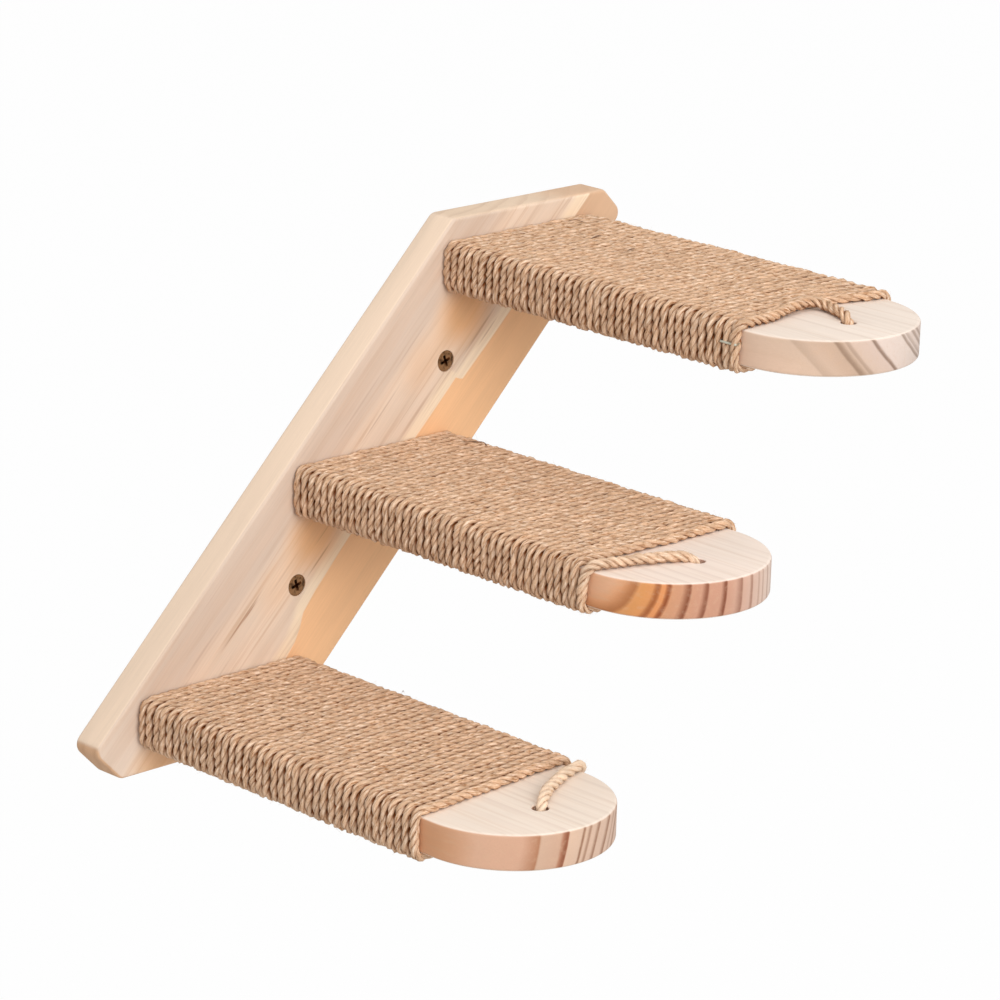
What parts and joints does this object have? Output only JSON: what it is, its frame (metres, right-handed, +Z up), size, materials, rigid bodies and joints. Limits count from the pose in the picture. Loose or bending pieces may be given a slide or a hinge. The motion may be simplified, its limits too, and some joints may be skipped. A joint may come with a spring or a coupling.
{
  "type": "cat climbing wall",
  "caption": "Wall-mounted climbing steps for a cat: rope-wound boards with round noses on a slanted plank, each step higher and further to the right.",
  "frame": {"origin": "on the plank's wall face, straight behind the middle step's centre line", "axes": "+Y into the wall, +Z up, +X to the right as seen from the room; the plank rises to the right"},
  "size_m": [0.3515, 0.3053, 0.2505],
  "materials": {
    "plank_wood": "planed pine, unfinished, with a tan heartwood band",
    "board_wood": "planed pine, unfinished",
    "jute": "twisted natural jute, hairy",
    "step_screw_steel": "zinc-plated steel",
    "wall_screw_bronze": "bronze-coloured plated steel",
    "staple_steel": "bright galvanised wire"
  },
  "bodies": {
    "root": {"back_plank": "plank_wood", "step_board_lower": "board_wood", "step_board_middle": "board_wood", "step_board_upper": "board_wood", "jute_rope_lower": "jute", "jute_rope_middle": "jute", "jute_rope_upper": "jute", "step_screw_lower_left": "step_screw_steel", "step_screw_lower_right": "step_screw_steel", "step_screw_middle_left": "step_screw_steel", "step_screw_middle_right": "step_screw_steel", "step_screw_upper_left": "step_screw_steel", "step_screw_upper_right": "step_screw_steel", "wall_screw_lower": "wall_screw_bronze", "wall_screw_upper": "wall_screw_bronze", "rope_staple_upper": "staple_steel"}
  },
  "joints": []
}
